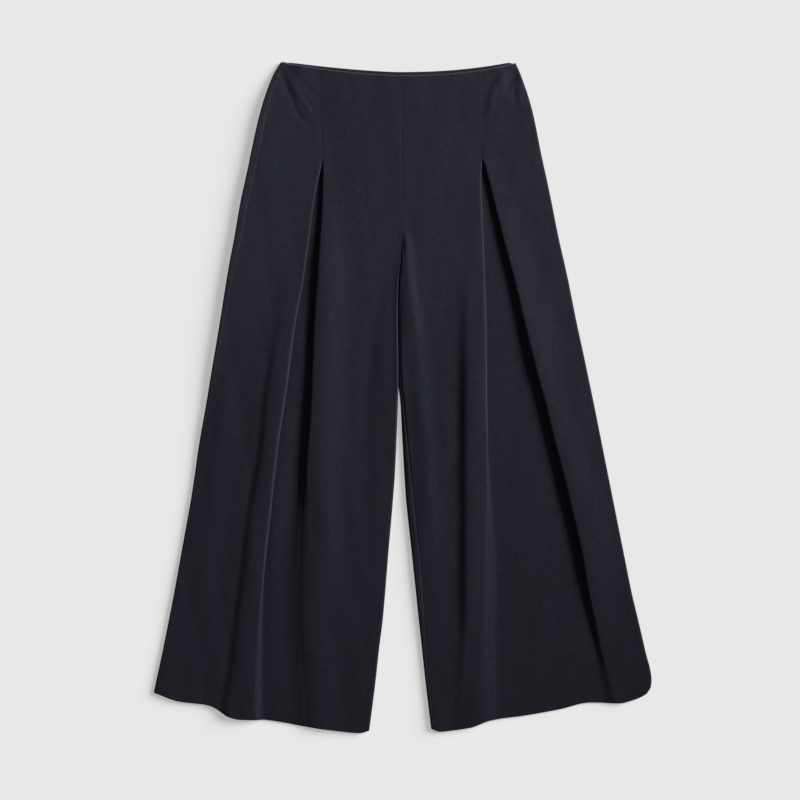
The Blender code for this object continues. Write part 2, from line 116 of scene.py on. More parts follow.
EDGE_RISE_REACH, CENTRE_RISE_REACH = 2.5, 8.0  # how near an edge the creases reach
SHOULDER_DROP, SHOULDER_REACH = 2.4, 7.6  # how the cloth leans down to an inseam that lies on top
CROTCH_WELT, WELT_REACH = 1.4, 4.0  # the lifted rim of the leg that lies over the other at the crotch
WELT_CREST, WELT_FOOT, WELT_FOOT_RISE = 1.0, 2.0, 3.0
UNDERLAY_SWELL = 0.5  # the share of the creases that the underlay takes
TURN_FROM, TURN_TO = 0.2, 0.8  # the shares of a rolled edge's columns that go round its turn
INSEAM_SINKS = ((250, 0.1), (385, 0.15), (440, 0.35), (470, 0.9), (505, 1.4), (570, 0.9), (700, 0.4),
                (1010, 0.25))
# Painted highlight on an edge's crest: how pale, where its bell lies and how wide it is: along the
# rows at the waist, along the arc's share at a fold, and along the edge's share at the crotch's rim.
WAIST_HIGHLIGHT, WAIST_HIGHLIGHT_AT, WAIST_HIGHLIGHT_WIDTH = 1.0, 0.9, 0.9
FOLD_HIGHLIGHT, FOLD_HIGHLIGHT_AT, FOLD_HIGHLIGHT_WIDTH = 0.5, 0.28, 0.2
FOLD_HIGHLIGHT_TURN, FOLD_HIGHLIGHT_EASE = 70.0, 60.0  # degrees of turn from which, and over which, a fold's crest takes its painted highlight
RIM_HIGHLIGHT, RIM_HIGHLIGHT_AT, RIM_HIGHLIGHT_WIDTH = 0.75, 0.62, 0.11
# Stretches of a leg: the first and last drop, and the lengths over which they start and end.
SHOULDER_STRETCH = (345, 760, 80, 180)
WELT_STRETCH = (266, 560, 36, 120)
RIM_HIGHLIGHT_STRETCH = (270, 700, 30, 200)

# A row for each cross-section: the outer edge, the pleat's fold edge on the centre panel, how far
# the pleat has opened from there, and the inner edge; how far each return is tucked in; how high
# each fold edge stands; how far each fold turns, in degrees; and the cloth's length from the outer
# and the inner edge to its seam, below zero where the seam has rolled under.
SECTION_COLUMNS = (
    "drop", "side", "mid_fold", "opening", "inner", "side_tuck", "mid_tuck",
    "side_lip", "mid_lip", "side_turn", "mid_turn", "side_seam", "inner_seam",
)
RIGHT_SECTIONS = (
    (0.0, 179.0, 118.6, -2.4, -2.2, 28, 38, 0.0, 0.12, 180, 180, 9.0, UNDER_SEAM),
    (19.5, 190.5, 118.2, -2.4, -2.2, 32, 38, 0.0, 0.12, 180, 180, 11.0, UNDER_SEAM),
    (70.5, 208.5, 117.5, -2.4, -2.2, 40, 40, 0.0, 0.12, 180, 180, 12.5, UNDER_SEAM),
    (138.0, 224.0, 115.6, -1.8, -2.2, 42, 42, 0.1, 0.3, 180, 180, 13.5, UNDER_SEAM),
    (152.0, 226.8, 115.4, 1.8, -2.2, 42, 42, 0.3, 0.5, 180, 180, 13.5, UNDER_SEAM),
    (175.5, 231.9, 115.6, 6.6, -2.2, 42, 42, 0.4, 0.9, 180, 180, 13.5, UNDER_SEAM),
    (205.5, 238.5, 116.5, 11.9, -2.2, 42, 42, 0.5, 1.4, 180, 180, 13.5, UNDER_SEAM),
    (265.5, 249.0, 120.2, 16.0, -3.2, 36, 42, 0.6, 1.9, 180, 180, 12.5, UNDER_SEAM),
    (300.0, 255.6, 122.8, 18.2, -2.0, 31, 41, 0.7, 1.8, 180, 180, 11.0, UNDER_SEAM),
    (325.5, 260.0, 124.7, 19.8, 1.2, 27, 40, 0.7, 1.6, 180, 180, 9.8, UNDER_SEAM),
    (385.5, 269.5, 128.5, 27.0, 3.0, 20, 38, 0.8, 1.8, 180, 180, 8.8, UNDER_SEAM),
    (484.0, 286.0, 132.6, 35.8, 2.2, 17, 30, 0.8, 3.6, 180, 180, 6.4, UNDER_SEAM),
    (505.5, 289.5, 133.5, 38.0, 2.9, 16, 25, 0.8, 4.0, 180, 180, 5.8, UNDER_SEAM),
    (580.5, 302.5, 138.5, 44.2, 5.8, 15, 10, 0.8, 4.0, 180, 140, 5.6, UNDER_SEAM),
    (620.0, 308.0, 142.5, 44.7, 7.8, 12, 5, 0.8, 3.7, 180, 76, 5.5, UNDER_SEAM),
    (655.5, 313.5, 146.5, 44.7, 10.5, 10, 4, 0.7, 3.3, 180, 38, 5.4, UNDER_SEAM),
    (692.0, 320.0, 149.0, 46.0, 13.6, 8, 4, 0.7, 2.9, 180, 27, 5.3, UNDER_SEAM),
    (730.5, 327.0, 150.5, 49.0, 17.0, 6, 4, 0.6, 2.6, 176, 21, 5.2, UNDER_SEAM),
    (790.5, 337.8, 152.5, 52.5, 21.8, 5, 4, 0.4, 2.4, 128, 18, 5.0, UNDER_SEAM),
    (835.0, 346.4, 153.5, 55.0, 25.8, 4, 4, 0.2, 2.4, 88, 17, 5.0, UNDER_SEAM),
    (880.5, 355.5, 150.0, 60.5, 31.5, 4, 4, 1.0, 2.4, 62, 15.5, 5.0, UNDER_SEAM),
    (925.5, 365.2, 145.5, 66.0, 36.4, 4, 4, 1.7, 2.3, 56, 14.5, 5.0, UNDER_SEAM),
    (1005.0, 382.0, 140.5, 71.5, 46.5, 4, 4, 1.8, 2.2, 44, 14, 5.0, UNDER_SEAM),
)
LEFT_SECTIONS = (
    (0.0, 173.0, 120.4, -2.4, 2.2, 22, 38, 0.0, 0.12, 180, 180, UNDER_SEAM, 5.5),
    (19.5, 181.5, 120.7, -2.4, 2.2, 27, 38, 0.0, 0.12, 180, 180, UNDER_SEAM, 5.5),
    (70.5, 198.0, 121.8, -2.4, 2.2, 38, 40, 0.0, 0.12, 180, 180, UNDER_SEAM, 5.5),
    (138.0, 212.0, 123.2, -1.8, 2.2, 42, 42, 0.4, 0.3, 180, 180, UNDER_SEAM, 5.5),
    (152.0, 215.0, 122.6, 3.6, 2.2, 42, 42, 1.1, 0.5, 180, 180, UNDER_SEAM, 5.5),
    (175.5, 220.2, 121.6, 11.0, 2.2, 42, 41, 1.8, 0.9, 180, 180, UNDER_SEAM, 5.5),
    (205.5, 226.5, 122.6, 17.2, 2.2, 42, 40, 2.4, 1.2, 180, 180, UNDER_SEAM, 5.2),
    (265.5, 238.5, 125.0, 29.6, 2.9, 38, 36, 3.2, 1.4, 180, 180, UNDER_SEAM, 4.4),
    (300.0, 246.4, 126.4, 37.2, 1.6, 36, 34, 3.6, 1.5, 180, 180, UNDER_SEAM, 4.2),
    (325.5, 252.0, 127.4, 43.0, -1.4, 34, 32, 3.8, 1.5, 180, 180, UNDER_SEAM, 4.2),
    (385.5, 264.0, 129.4, 55.0, -3.2, 30, 28, 4.0, 1.5, 180, 180, UNDER_SEAM, 4.2),
    (440.0, 275.8, 130.0, 67.4, -3.0, 27, 24, 3.9, 1.4, 180, 180, UNDER_SEAM, 4.4),
    (484.0, 285.0, 130.3, 78.6, -2.4, 25, 18, 3.8, 1.4, 180, 180, UNDER_SEAM, 5.4),
    (505.5, 289.5, 130.6, 84.6, 0.2, 24, 14, 3.8, 1.3, 180, 176, UNDER_SEAM, 6.0),
    (560.0, 300.4, 131.4, 97.2, 3.2, 22, 8, 3.8, 1.3, 180, 142, UNDER_SEAM, 8.2),
    (600.0, 308.4, 132.0, 107.2, 5.4, 20, 5, 3.8, 1.3, 180, 106, UNDER_SEAM, 10.0),
    (655.5, 319.5, 133.0, 120.0, 9.0, 17, 4, 3.9, 1.3, 180, 70, UNDER_SEAM, 12.0),
    (690.0, 326.4, 133.6, 127.6, 12.6, 14, 4, 4.0, 1.3, 180, 47, UNDER_SEAM, 12.4),
    (745.0, 337.4, 134.2, 139.0, 18.6, 10, 4, 3.9, 1.3, 174, 33, UNDER_SEAM, 12.2),
    (790.5, 346.5, 134.0, 147.4, 23.4, 7, 4, 3.0, 1.3, 128, 30, UNDER_SEAM, 11.0),
    (835.0, 357.0, 133.2, 155.4, 28.0, 4, 4, 1.9, 1.3, 64, 28, UNDER_SEAM, 9.4),
    (880.5, 367.5, 133.8, 164.0, 33.0, 4, 4, 1.0, 1.3, 38, 24, UNDER_SEAM, 7.0),
    (925.0, 377.0, 134.6, 172.4, 37.8, 4, 4, 0.2, 1.2, 21, 20, UNDER_SEAM, 5.6),
    (935.0, 376.0, 134.8, 174.4, 39.0, 4, 4, 0.1, 1.2, 19, 19, UNDER_SEAM, 5.5),
    (944.0, 371.0, 135.0, 176.2, 40.0, 4, 4, -0.3, 1.2, 16, 18, UNDER_SEAM, 5.5),
    (1005.0, 350.0, 136.0, 187.0, 47.5, 4, 4, -0.4, 1.0, 13, 15, UNDER_SEAM, 5.5),
)
HEM_COLUMNS = ("out", "drop")
RIGHT_HEM = (
    (46.5, 1000.5), (60.0, 1004.0), (97.5, 1000.5), (150.0, 993.0), (207.0, 984.5),
    (240.0, 983.5), (256.5, 979.5), (280.5, 965.0), (292.5, 961.5), (330.0, 957.0), (369.0, 943.5),
)
LEFT_HEM = (
    (46.5, 997.5), (60.0, 1002.0), (75.0, 1000.5), (105.0, 996.0), (135.0, 985.5), (180.0, 979.5),
    (240.0, 969.0), (285.0, 959.0), (330.0, 959.5), (345.0, 956.0), (360.0, 950.5), (371.0, 944.0),
)

# The creases of each front: where it runs, as (drop, out) pairs from its upper end to its lower
# one, its height (below zero for a trough), its reach towards the centre and towards the side, and
# the lengths over which it starts and dies away.
CREASE_COLUMNS = ("run", "height", "reach_in", "reach_out", "starts", "ends")
RIGHT_CREASES = (
    # the long roll between the pleat's fold and the step in the hem, with the valley beside it
    (((300, 151), (370, 169), (445, 182), (505, 190), (580, 197), (655, 209), (730, 218), (805, 227),
      (880, 236), (940, 245), (1060, 259)), 3.8, 36.0, 20.0, 170, 20),
    (((330, 176), (445, 196), (505, 205), (580, 212), (655, 226), (730, 235), (805, 245), (880, 254),
      (940, 263), (1060, 279)), -1.3, 4.5, 9.0, 170, 20),
    (((430, 250), (580, 273), (655, 282), (730, 288), (860, 300)), 0.9, 17.0, 17.0, 110, 120),
    # the outer edge stands up where the cloth turns over it
    (((0, 176), (70, 205), (150, 223), (265, 246), (385, 267), (484, 283), (640, 310)),
     4.0, 54.0, 30.0, 60, 260),
    (((0, 184), (70, 213), (150, 231), (265, 254), (385, 274), (484, 291), (640, 316)),
     2.0, 13.0, 13.0, 60, 260),
    # the centre panel: a broad roll beside the fold, and the trough out of the crotch
    (((215, 112), (300, 110), (400, 109), (520, 110), (655, 112), (940, 112)),
     4.0, 21.0, 24.0, 120, 330),
    (((262, 16), (290, 17), (325, 26), (385, 37), (445, 44), (505, 51), (655, 50), (800, 52)),
     -1.5, 12.0, 15.0, 150, 240),
    (((300, 72), (480, 76), (700, 74)), -0.6, 13.0, 12.0, 120, 200),
    # drag lines that fan out of the waist corner
    (((6, 181), (15, 177.5), (38, 169), (56, 160), (68, 157), (81, 150), (97, 133), (108, 126)),
     -1.0, 3.2, 4.4, 12, 22),
    (((8, 166), (30, 146), (48, 131), (62, 122)), -0.8, 3.6, 4.6, 14, 22),
    (((12, 171), (40, 157), (62, 143), (86, 128)), 0.8, 5.0, 5.0, 14, 30),
    (((44, 150), (66, 134), (84, 124)), -0.4, 3.0, 3.0, 12, 16),
    # the flattened tail of the pleat towards the hem
    (((720, 172), (820, 176), (980, 182)), 0.5, 14.0, 12.0, 90, 60),
)
LEFT_CREASES = (
    # the ridge that springs from the crotch, sharp at first and broad below
    (((244, 6), (262, 8), (290, 10), (318, 13), (356, 17.5), (400, 24), (450, 30)),
     3.4, 20.0, 6.5, 30, 130),
    (((300, 9), (356, 16), (430, 24), (505, 30), (580, 38), (655, 43), (805, 51), (900, 55)),
     2.8, 28.0, 13.5, 110, 330),
    (((420, 12), (520, 18), (700, 28)), -0.5, 7.0, 7.0, 60, 160),
    # the roll between the pleat's fold and the step down the centre panel
    (((300, 101), (400, 101), (520, 101), (655, 101), (805, 101), (880, 98), (940, 94), (1060, 91)),
     5.2, 9.5, 32.0, 170, 330),
    (((420, 66), (600, 68), (820, 66)), 0.5, 11.0, 11.0, 140, 160),
    # the side panel
    (((300, 188), (505, 240), (655, 280), (745, 300), (880, 328)), 2.6, 60.0, 45.0, 150, 200),
    (((540, 256), (655, 279), (730, 301), (840, 320)), 0.9, 15.0, 15.0, 110, 100),
    (((300, 222), (420, 240), (560, 262)), -0.7, 14.0, 14.0, 110, 120),
    # the underlay's own soft waves towards the hem
    (((640, 185), (760, 200), (960, 214)), 0.5, 20.0, 20.0, 100, 60),
    (((700, 232), (820, 262), (990, 292)), -0.9, 14.0, 18.0, 120, 40),
    # drag lines that fan out of the waist corner
    (((4, 168), (44, 141), (92, 129)), 1.2, 6.0, 4.5, 14, 36),
    (((14, 152), (30, 137), (62, 122)), -0.8, 6.0, 5.0, 14, 24),
    (((10, 176), (36, 162), (66, 152)), -1.1, 5.5, 4.5, 10, 26),
    (((6, 180), (40, 179), (76, 180)), 1.2, 4.0, 4.5, 14, 26),
)
# Slow unevenness of hand-laid cloth: height, and the wave's length across and down, and its phase.
LAID_WAVES = (
    (0.17, 67.0, 410.0, 0.4), (0.11, 41.0, 230.0, 2.1), (0.04, 23.0, 170.0, 4.4),
    (0.12, -88.0, 150.0, 1.2), (0.06, -35.0, 95.0, 3.3),
)
KNIT_UPPER = (0.0308, 0.0313, 0.0476)
KNIT_LOWER = (0.0186, 0.0190, 0.0294)
# the pale colour of the painted highlight on folds and edges
KNIT_HIGHLIGHT = (0.060, 0.061, 0.083)


def table(columns, rows):
    """A table's named columns as arrays."""
    return dict(zip(columns, np.array(rows, float).T))


def named_rows(columns, rows):
    """A table's rows, each with its columns by name."""
    return [dict(zip(columns, row)) for row in rows]


def smooth(xs, ys, x):
    """A curve through the points (xs, ys) with no overshoot, read at x.

    Cubic Hermite pieces, whose slope at each point is the harmonic mean of its neighbours' chords.
    """
    step = np.diff(xs)
    chord = np.diff(ys) / step
    slope = np.zeros(len(xs))
    same_way = chord[:-1] * chord[1:] > 0
    before, after = chord[:-1][same_way], chord[1:][same_way]
    slope[1:-1][same_way] = 2 * before * after / (before + after)
    slope[0], slope[-1] = chord[0], chord[-1]
    x = np.clip(x, xs[0], xs[-1])
    k = np.clip(np.searchsorted(xs, x, side="right") - 1, 0, len(step) - 1)
    t = (x - xs[k]) / step[k]
    return (
        (1 + 2 * t) * (1 - t) ** 2 * ys[k]
        + t * (1 - t) ** 2 * step[k] * slope[k]
        + t * t * (3 - 2 * t) * ys[k + 1]
        + t * t * (t - 1) * step[k] * slope[k + 1]
    )


def ease(t):
    """0 up to t = 0, 1 from t = 1, with a smooth rise between: 3tt - 2ttt."""
    t = np.clip(t, 0, 1)
    return t * t * (3 - 2 * t)


def within(drop, first, last, starts, ends):
    """1 along a stretch of the leg, with a smooth rise over its start and fall over its end."""
    return ease((drop - first) / starts) * ease((last - drop) / ends)


def bell(distance, reach):
    """1 in the middle, falling away on both sides: exp(-(distance / reach)^2)."""
    return np.exp(-((distance / reach) ** 2))


def raised_creases(creases, out, drop):
    """The sum of some creases: each is a bell across its run, with its own reach on each flank."""
    height = np.zeros(np.broadcast(out, drop).shape)
    for crease in creases:
        runs, outs = np.array(crease["run"], float).T
        off = out - smooth(runs, outs, drop)
        reach = np.where(off < 0, crease["reach_in"], crease["reach_out"])
        grown = within(drop, runs[0], runs[-1], crease["starts"], crease["ends"])
        height = height + crease["height"] * grown * bell(off, reach)
    return height


class Leg:
    """The measures of one leg, read at any drop."""

    def __init__(self, side, sections, hem, creases, side_on_top, inner_on_top, crisp, waist_powers):
        self.side = side  # +1 on the wearer's left, -1 on the right
        self.sections = table(SECTION_COLUMNS, sections)
        self.hem = table(HEM_COLUMNS, hem)
        self.creases = named_rows(CREASE_COLUMNS, creases)
        self.seams = {"side": (side_on_top, "side_seam"), "inner": (inner_on_top, "inner_seam")}
        self.crisp = crisp  # the panel whose fold the iron has caught
        self.waist_powers = waist_powers  # how the front's and the back's waist line curve

    def at(self, name, drop):
        return smooth(self.sections["drop"], self.sections[name], drop)

    def fold_edge(self, panel_name, drop):
        """Where the pleat's fold edge lies on the side or the mid panel."""
        edge = self.at("mid_fold", drop)
        return edge + self.at("opening", drop) if panel_name == "side" else edge

    def hem_drop(self, out):
        return smooth(self.hem["out"], self.hem["drop"], out)

    def crease_height(self, out, drop):
        """The front's creases and the slow waves, each wave a sine of out and drop."""
        height = raised_creases(self.creases, out, drop)
        for tall, across, down, phase in LAID_WAVES:
            height = height + tall * np.sin(2 * pi * (out / across + drop / down) + phase * self.side)
        return height


def facing_lift(drop):
    """What the front is raised by where the facing lies under it."""
    return LAYER * (1 - ease((drop - FACING_DEPTH) / FACING_FADE))


def tuck_rise(leg, panel_name, out, drop):
    """The facing's lift: the whole centre panel, and the side panel as far as its tuck reaches."""
    if panel_name == "mid":
        return facing_lift(drop) + 0 * out
    away = np.abs(out - leg.fold_edge("side", drop))
    return facing_lift(drop) * (1 - ease((away - leg.at("side_tuck", drop) - TUCK_MARGIN) / TUCK_FADE))


def sewn(drop):
    """1 where the pleat is stitched shut, falling to 0 where it hangs open."""
    return 1 - ease((drop - SEWN_TO) / (OPEN_FROM - SEWN_TO))


def edge_weight(length):
    """How much of the creases' height an edge takes, at a length from its outermost line."""
    return ease(length / EDGE_RISE_REACH)


def dent(distance, depth):
    """How far a seam draws the cloth down at a distance from it, a narrow bell."""
    return depth * bell(distance, SEAM_WIDTH)


def rolled_edge(length):
    """The cloth's turn round an edge, as inset and height.

    length runs along the cloth from the outermost line, above zero towards the front. The cloth
    follows a half circle, and past it lies flat on the front or the back level.
    """
    turn = np.clip(length / EDGE_RADIUS, -pi / 2, pi / 2)
    inset = EDGE_RADIUS * (1 - np.cos(turn)) + np.maximum(np.abs(length) - QUARTER, 0)
    return WALL / 2 + inset, BACK_LEVEL + EDGE_RADIUS * (1 + np.sin(turn))


def front_top(leg, panel_name, out, drop, crest):
    """The front's height: flat, raised over the tucked pleat, with creases, and a lip towards the
    crest, where the panel turns into its fold."""
    return (
        FRONT_LEVEL
        + tuck_rise(leg, panel_name, out, drop)
        + leg.at(panel_name + "_lip", drop) * bell(out - crest, LIP_WIDTH)
        + leg.crease_height(out, drop)
    )


def side_edge(leg, drop, length):
    """Cloth round the outer edge, at a length from the outermost line."""
    inset, up = rolled_edge(length)
    return leg.at("side", drop) - inset, up


def closing(drop):
    """How far a leg has closed into a tube of its own: 0 above the crotch, 1 below it."""
    return ease((drop - CROTCH) / (CROTCH_END - CROTCH))


def turned_edge(leg, drop, length, tail):
    """The cloth that rolls round the inner edge, as its distance out and its rise from its level.

    Above the crotch the cloth ends flat at the centre seam. Below it a flap of cloth goes round the
    edge, on a circle, and grows with closing from next to nothing to the half circle and the tail.
    """
    closed = closing(drop)
    flap = LEAST_FLAP + (2 * QUARTER + tail - LEAST_FLAP) * closed
    radius = EDGE_RADIUS / np.maximum(ease(closed / FLAP_CURLED), LEAST_BEND)
    run = flap * np.clip((QUARTER - length) / (2 * QUARTER + tail), 0, 1)
    turned = np.minimum(run / radius, pi)
    most = np.minimum(flap / radius, pi / 2)
    along = radius * np.sin(turned) - np.maximum(run - radius * pi, 0) - np.maximum(length - QUARTER, 0)
    margin = SEAM_SHUT + (WALL / 2 - SEAM_SHUT) * np.sin(most)
    return leg.at("inner", drop) + margin + radius * np.sin(most) - along, radius * (1 - np.cos(turned))


def still_edge(leg, drop, length, tail):
    """The cloth that the rolled one meets: it stays flat and ends at the seam between them."""
    seam_out, _ = turned_edge(leg, drop, -QUARTER - tail, tail)
    return seam_out + 2 * SEAM_SHUT * closing(drop) + length


def shoulder(leg, out, drop):
    """How far the cloth leans down towards an inner edge whose seam lies on top: a parabola."""
    near = np.clip(1 - (out - leg.at("inner", drop)) / SHOULDER_REACH, 0, 1)
    return SHOULDER_DROP * near**2 * within(drop, *SHOULDER_STRETCH)


def pleat_fold(leg, panel_name, drop):
    """The measures of one fold of the pleat.

    The panel's edge turns down over an upper arc, runs back beneath as the return, and turns
    again over a lower arc into the underlay. The drop from panel to underlay is shared by the two
    radii: height = (r1 + r2)(1 - cos a), for a turn of a. Where the pleat is stitched, the upper
    arc is squeezed into a narrow ellipse, so that the two folds meet flush.
    """
    way = -1 if panel_name == "side" else 1
    edge_out = leg.fold_edge(panel_name, drop)
    turn = leg.at(panel_name + "_turn", drop)
    angle = np.radians(turn)
    low = UNDERLAY_LEVEL + facing_lift(drop)
    opened = ease((pi - angle) / OPENED_TURN)
    crisp = CRISPNESS * (panel_name == leg.crisp) * ease((turn - CRISP_TURN) / CRISP_EASE)
    squeeze = 1 - crisp + (crisp - SEWN_SHARPNESS) * sewn(drop)
    top_out = edge_out
    for _ in range(CREST_STEPS):
        high = front_top(leg, panel_name, top_out, drop, top_out)
        both = (high - low) / (1 - np.cos(angle))
        lower = TUCK_RADIUS * (1 - opened) + both / 2 * opened
        upper = both - lower
        crest_out = top_out
        top_out = edge_out - way * (WALL / 2 + upper * squeeze * np.sin(np.minimum(angle, pi / 2)))
    folded_flat = ease((turn - SLACK_TURN) / (FLAT_TURN - SLACK_TURN))
    return dict(
        way=way, high=high, low=low, angle=angle, upper=upper, lower=lower, squeeze=squeeze,
        straight=MIN_RETURN + np.maximum(leg.at(panel_name + "_tuck", drop) - both, 0) * folded_flat,
        top_out=crest_out,
    )


def upper_arc(leg, panel_name, share, drop):
    """The fold's upper arc, share running from 0 at the panel to 1 at the return."""
    fold = pleat_fold(leg, panel_name, drop)
    turned = fold["angle"] * share
    out = fold["top_out"] + fold["way"] * fold["upper"] * fold["squeeze"] * np.sin(turned)
    return out, fold["high"] - fold["upper"] * (1 - np.cos(turned))


def lower_arc(leg, panel_name, share, drop):
    """The fold's lower arc, share running from 0 at the return to 1 at the underlay."""
    fold = pleat_fold(leg, panel_name, drop)
    angle = fold["angle"]
    start = upper_arc(leg, panel_name, 1.0, drop)[0] + fold["way"] * fold["straight"] * np.cos(angle)
    turned = angle * (1 - share)
    out = start + fold["way"] * fold["lower"] * (np.sin(angle) - np.sin(turned))
    return out, fold["low"] + fold["lower"] * (1 - np.cos(turned))


def rolled_length(start, share):
    """The length along the rolled cloth: up to the turn, round it, and on to the panel proper."""
    first = start + (-QUARTER - start) * np.clip(share / TURN_FROM, 0, 1)
    turn = 2 * QUARTER * np.clip((share - TURN_FROM) / (TURN_TO - TURN_FROM), 0, 1)
    return first + turn + (EDGE_REACH - QUARTER) * np.clip((share - TURN_TO) / (1 - TURN_TO), 0, 1)


def inseam_sink(drop):
    """The depth of the inseam where it lies on top, deepest just below the crotch."""
    return smooth(*np.array(INSEAM_SINKS, float).T, drop)


def welt(length, drop):
    """The lifted rim at the crotch: a bell round the edge, from the crotch to a hand below it."""
    rim = bell(length - WELT_CREST, WELT_REACH) * ease((length + QUARTER + WELT_FOOT) / WELT_FOOT_RISE)
    return CROTCH_WELT * rim * within(drop, *WELT_STRETCH)


def front_side_edge(leg, share, drop):
    seam = leg.at(leg.seams["side"][1], drop) + SEAM_SHUT
    on_top = leg.seams["side"][0]
    length = seam + (EDGE_REACH - seam) * share if on_top else rolled_length(seam, share)
    out, up = side_edge(leg, drop, length)
    sink = dent(length - seam, SEAM_SINK) if on_top else 0.0
    rise = leg.crease_height(out, drop) + tuck_rise(leg, "side", out, drop)
    return out, up + rise * edge_weight(length) - sink


def front_inner_edge(leg, share, drop):
    tail = np.abs(leg.at(leg.seams["inner"][1], drop)) - QUARTER
    closed = closing(drop)
    if leg.seams["inner"][0]:
        length = EDGE_REACH * share
        out = still_edge(leg, drop, length, tail)
        near = ease(length / CENTRE_RISE_REACH)
        up, weight = FRONT_LEVEL + 0 * drop, near + (1 - near) * closed
        sink = dent(length, CENTRE_SINK + (inseam_sink(drop) - CENTRE_SINK) * closed)
        sink = sink + shoulder(leg, out, drop)
    else:
        length = rolled_length(-QUARTER - tail, share)
        out, rise = turned_edge(leg, drop, length, tail)
        up, weight = FRONT_LEVEL - rise, edge_weight(length)
        sink = dent(length + QUARTER + tail, CENTRE_SINK) * (1 - closed) - welt(length, drop)
    return out, up + leg.crease_height(out, drop) * weight + facing_lift(drop) - sink


def crowded(share, drop):
    """Shares counted from a fold, crowded towards it where it is sewn: share^(1 + crowding)."""
    return share ** (1 + CREST_CROWDING * sewn(drop))


def side_panel(leg, share, drop):
    start = front_side_edge(leg, 1.0, drop)[0]
    end = pleat_fold(leg, "side", drop)["top_out"]
    out = end + (start - end) * crowded(1 - share, drop)
    return out, front_top(leg, "side", out, drop, end)


def centre_panel(leg, share, drop):
    start = pleat_fold(leg, "mid", drop)["top_out"]
    end = front_inner_edge(leg, 1.0, drop)[0]
    out = start + (end - start) * crowded(share, drop)
    return out, front_top(leg, "mid", out, drop, start)


def underlay(leg, share, drop):
    """The pleat's inner panel, flat on the back, with a low swell where it has room to lift."""
    start, up = lower_arc(leg, "side", 1.0, drop)
    end, _ = lower_arc(leg, "mid", 1.0, drop)
    out = start + (end - start) * share
    swell = np.maximum(leg.crease_height(out, drop), 0) * np.sin(pi * share) ** 2
    return out, up + UNDERLAY_SWELL * swell


def front_waist(leg, out):
    """The drop of the front's top edge below the waist corners: dip (1 - (out / half)^power)."""
    return FRONT_WAIST_DIP * (1 - np.minimum(np.abs(out) / FRONT_WAIST_HALF, 1) ** leg.waist_powers[0])


def turned_rim(distance, radius):
    """How far an edge that is turned under sinks, a quarter circle: r - sqrt(r^2 - (r - d)^2)."""
    left = np.clip(radius - distance, 0, radius)
    return radius - np.sqrt(radius**2 - left**2)


def finish_of_rows(rows):
    """Height added along the rows: the waist's roll, the hem's doubled cloth, its two stitch rows
    and its turned edge."""
    to_hem = HEM_NOMINAL - rows
    doubled = HEM_RISE * (1 - ease((to_hem - HEM_TURN + HEM_STEP / 2) / HEM_STEP))
    needles = sum(NEEDLE_SINK * bell(to_hem - row, NEEDLE_WIDTH) for row in NEEDLE_ROWS)
    return doubled - needles - turned_rim(rows, WAIST_ROLL) - turned_rim(to_hem, HEM_ROLL)


# The rows' nominal drops, close together at the waist edge, the pleat's release and the hem: those
# at the waist, spans of even steps as (first, end, step), and those counted up from the hem edge.
WAIST_ROWS = (0.0, 0.12, 0.35, 0.7, 1.1, 1.5, 2.1, 3.0, 4.5, 6.5, 9.0)
EVEN_ROWS = ((12, 120, 4.0), (120, 190, 2.5), (190, 330, 3.6), (330, HEM_NOMINAL - 27, 5.2))
HEM_ROWS = (24.5, 23, 21.8, 21, 20.4, 19.9, 19.4, 18.9, 18.4, 17.9, 17.2, 16.4, 15.6, 15.1, 14.6, 14.1,
            13.6, 13, 12, 10.5, 8.5, 6.5, 4.5, 3, 2, 1.4, 1.0, 0.6, 0.3, 0.1, 0.0)
ROWS = np.concatenate([
    WAIST_ROWS, *[np.arange(*steps) for steps in EVEN_ROWS], HEM_NOMINAL - np.array(HEM_ROWS)])


def lay_out(leg, column, shares, waist_line):
    """A band of columns as out, drop and up, each share by row.

    Each row's drop is settled in steps, so that the first row lies on the waist line and the last
    on the hem line, wherever the column runs out to.
    """
    share = np.array(shares, float)[:, None]
    rows = ROWS[None, :] + 0 * share
    near_waist = np.clip(1 - rows / WAIST_REACH, 0, 1) ** 2
    near_hem = ease((rows - HEM_NOMINAL + HEM_REACH) / HEM_REACH)
    drop = rows
    for _ in range(SETTLE_STEPS):
        out, up = column(leg, share, drop)
        drop = rows + waist_line(leg, out) * near_waist + (leg.hem_drop(out) - HEM_NOMINAL) * near_hem
    clear = np.clip((up - UNDERLAY_LEVEL) / (FRONT_LEVEL - UNDERLAY_LEVEL), 0, 1)
    return out, drop, up + finish_of_rows(rows) * clear


# No painted highlight anywhere on the band.
def no_highlight(leg, share):
    return 0 * share + 0 * ROWS


def waist_highlight(rows):
    """The painted highlight on the waist's turned edge, a narrow bell along its crest."""
    return WAIST_HIGHLIGHT * bell(rows - WAIST_HIGHLIGHT_AT, WAIST_HIGHLIGHT_WIDTH)


def fold_highlight(panel_name):
    """The painted highlight on a fold's crest: a bell over the arc's upper half, gone where the fold has
    opened.
    """
    def highlighting(leg, share):
        turn = leg.at(panel_name + "_turn", ROWS[None, :])
        exposed = ease((turn - FOLD_HIGHLIGHT_TURN) / FOLD_HIGHLIGHT_EASE) * (1 - sewn(ROWS))
        return FOLD_HIGHLIGHT * bell(share - FOLD_HIGHLIGHT_AT, FOLD_HIGHLIGHT_WIDTH) * exposed
    return highlighting


def rim_highlight(leg, share):
    """The painted highlight on the lifted rim at the crotch, on the leg that lies over the other."""
    if leg.seams["inner"][0]:
        return no_highlight(leg, share)
    return RIM_HIGHLIGHT * bell(share - RIM_HIGHLIGHT_AT, RIM_HIGHLIGHT_WIDTH) * within(ROWS, *RIM_HIGHLIGHT_STRETCH)


def run_along(points, axis):
    """The length run along one axis of a grid of points, from 0 at its start."""
    steps = np.linalg.norm(np.diff(points, axis=axis), axis=-1)
    return np.concatenate([np.zeros_like(steps.take([0], axis)), np.cumsum(steps, axis)], axis)


